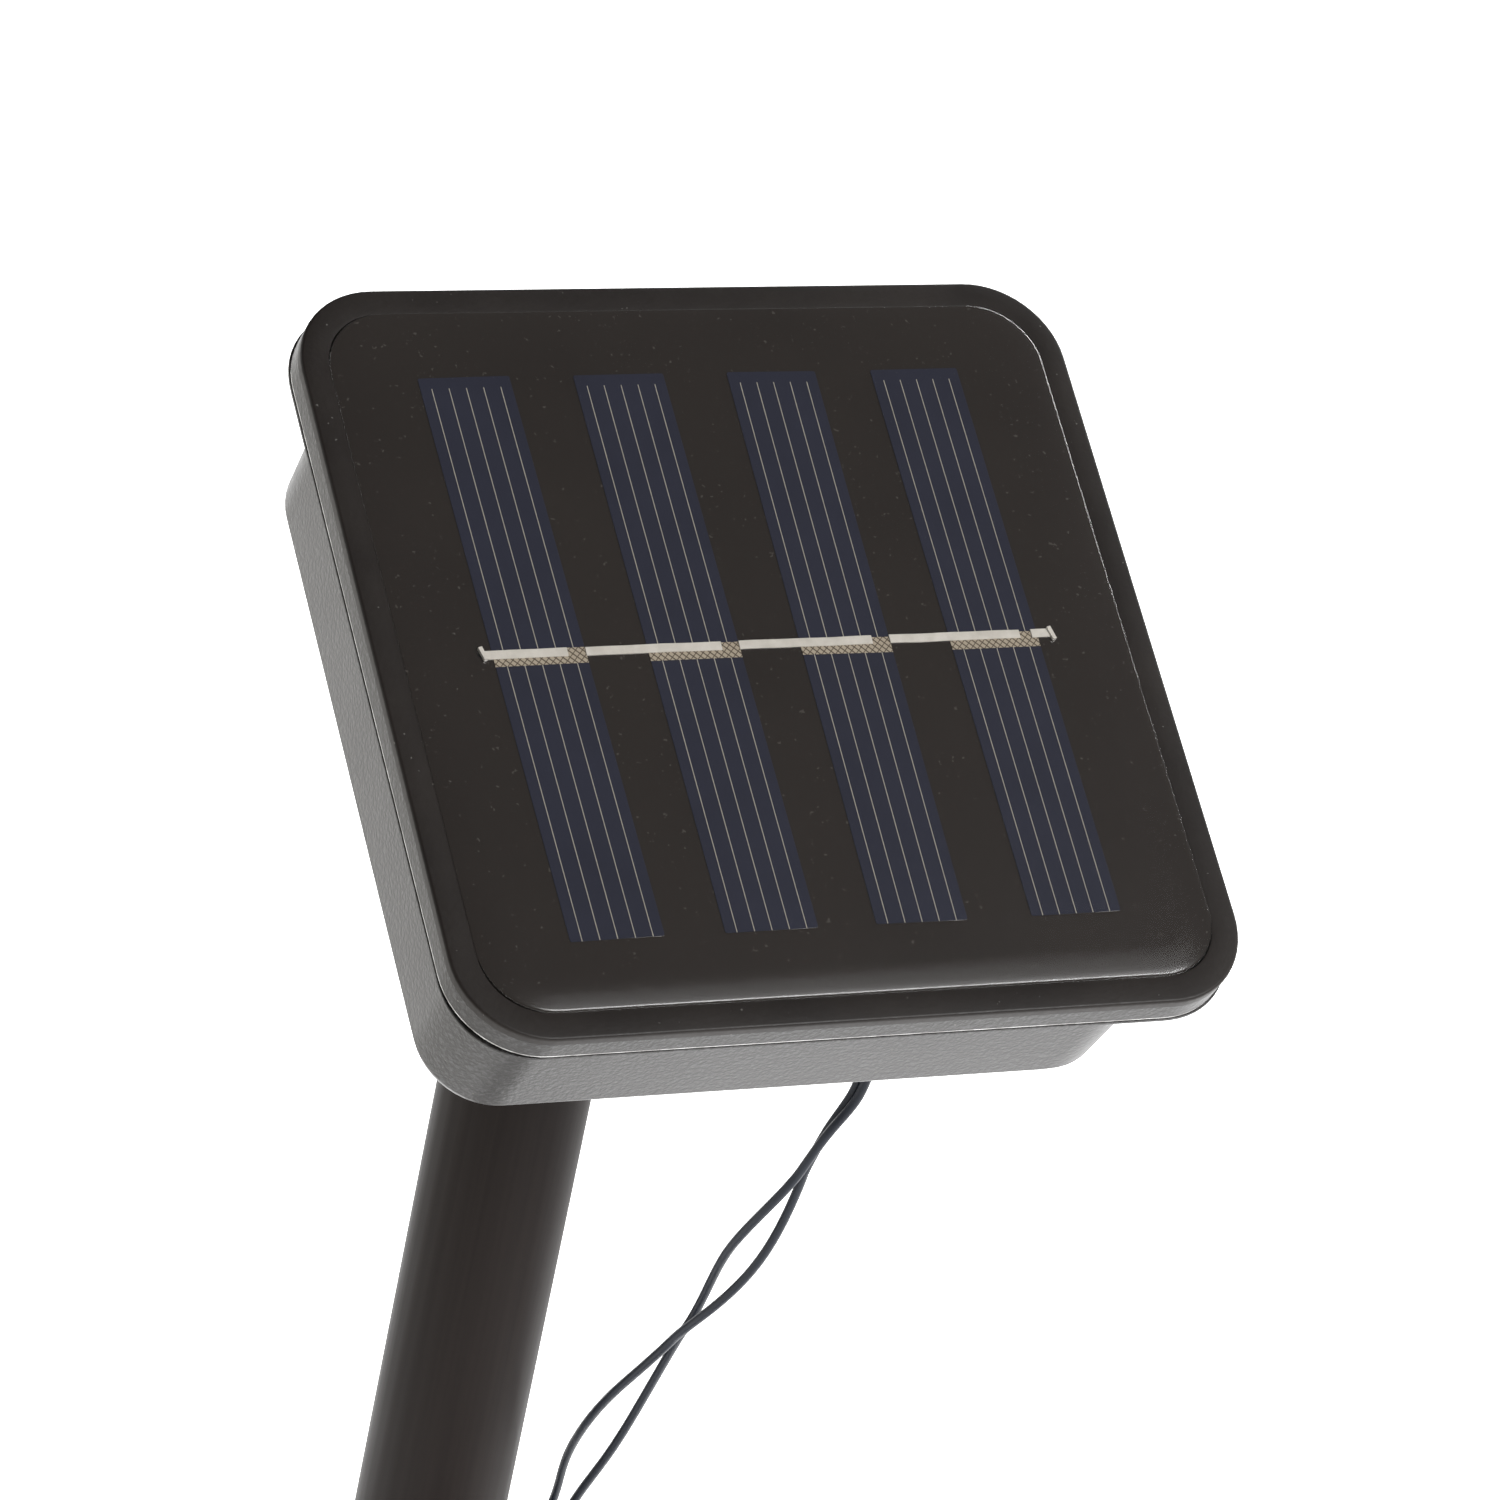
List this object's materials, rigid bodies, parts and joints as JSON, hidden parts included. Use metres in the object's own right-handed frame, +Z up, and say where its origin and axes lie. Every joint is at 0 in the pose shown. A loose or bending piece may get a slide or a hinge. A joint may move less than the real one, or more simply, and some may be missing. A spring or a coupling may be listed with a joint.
{
  "type": "solar string lights",
  "caption": "Square solar head with a glazed cell panel on a tilting ground stake, feeding a twisted-pair light string that lies coiled and strapped beside it.",
  "frame": {"origin": "on the stake tube's axis at soil level, where the spike's collar rests", "axes": "+Z up the stake, +X to the right when facing the panel, and the panel leans towards -Y"},
  "size_m": [0.1, 0.118, 0.3767],
  "materials": {
    "casing_black": "fine moulded grain, semi-matt black",
    "tube_black": "drawn brown-black plastic tube, satin",
    "seal_rubber": "soft grey-black seal",
    "button_rubber": "soft black rubber",
    "zinc_steel": "bright zinc plate",
    "nickel_steel": "nickel-plated spring steel",
    "board_black": "black solder mask",
    "board_green": "green solder mask",
    "chip_black": "moulded black components",
    "switch_metal": "stamped switch cans",
    "silicon": "dark blue-black cell under resin",
    "tinned_copper": "tinned ribbon",
    "clear_resin": "clear cast resin, glossy",
    "lead_red": "red and black hook-up wire",
    "cell_wrap": "printed-free shrink wrap over the cell's can",
    "washer_nylon": "natural nylon",
    "tie_nylon": "black nylon strap",
    "cord_pvc": "navy-black PVC insulation",
    "sleeve_black": "black shrink tube",
    "lamp_clear": "clear epoxy lamp, faintly warm"
  },
  "bodies": {
    "spike": {"ground_spike": "casing_black", "cord_lower": "cord_pvc", "cord_coil": "cord_pvc", "coil_ties": "tie_nylon", "lamp_sleeves": "sleeve_black", "lamp_lenses": "lamp_clear"},
    "stake": {"stake_tube": "tube_black", "knuckle": "casing_black", "stake_tie": "tie_nylon"},
    "head": {"cover_plate": "casing_black", "cover_gasket": "seal_rubber", "housing": "casing_black", "case_screws": "zinc_steel", "panel_board": "board_black", "solar_cell_1": "silicon", "solar_cell_2": "silicon", "solar_cell_3": "silicon", "solar_cell_4": "silicon", "tab_ribbons": "tinned_copper", "panel_resin": "clear_resin", "panel_leads": "lead_red", "battery_cell": "cell_wrap", "plus_contact": "nickel_steel", "minus_contact": "nickel_steel", "battery_spring": "nickel_steel", "battery_leads": "lead_red", "battery_door": "casing_black", "door_gasket": "seal_rubber", "door_screws": "zinc_steel", "circuit_board": "board_green", "board_screws": "zinc_steel", "board_parts": "chip_black", "power_switch": "switch_metal", "mode_switch": "switch_metal", "string_leads": "cord_pvc", "cord_gland": "button_rubber", "tilt_bolt": "zinc_steel", "tilt_nut": "zinc_steel", "tilt_washers": "washer_nylon", "cord_upper": "cord_pvc"},
    "power_button": {"power_button": "button_rubber"},
    "mode_button": {"mode_button": "button_rubber"}
  },
  "joints": [
    {"name": "swivel", "type": "hinge", "parent": "spike", "child": "stake", "pos_m": [0, 0, 0], "axis": [0, 0, 1], "range_deg": [-90, 90], "deforming": ["cord_lower"]},
    {"name": "tilt", "type": "hinge", "parent": "stake", "child": "head", "pos_m": [0, 0, 0.2085], "axis": [1, 0, 0], "range_deg": [-29, 61], "deforming": ["cord_upper"]},
    {"name": "power_press", "type": "slide", "parent": "head", "child": "power_button", "axis": [0, -0.4848, 0.8746], "range_m": [0, 0.0008], "stiffness_N_per_m": 800},
    {"name": "mode_press", "type": "slide", "parent": "head", "child": "mode_button", "axis": [0, -0.4848, 0.8746], "range_m": [0, 0.0008], "stiffness_N_per_m": 800}
  ]
}
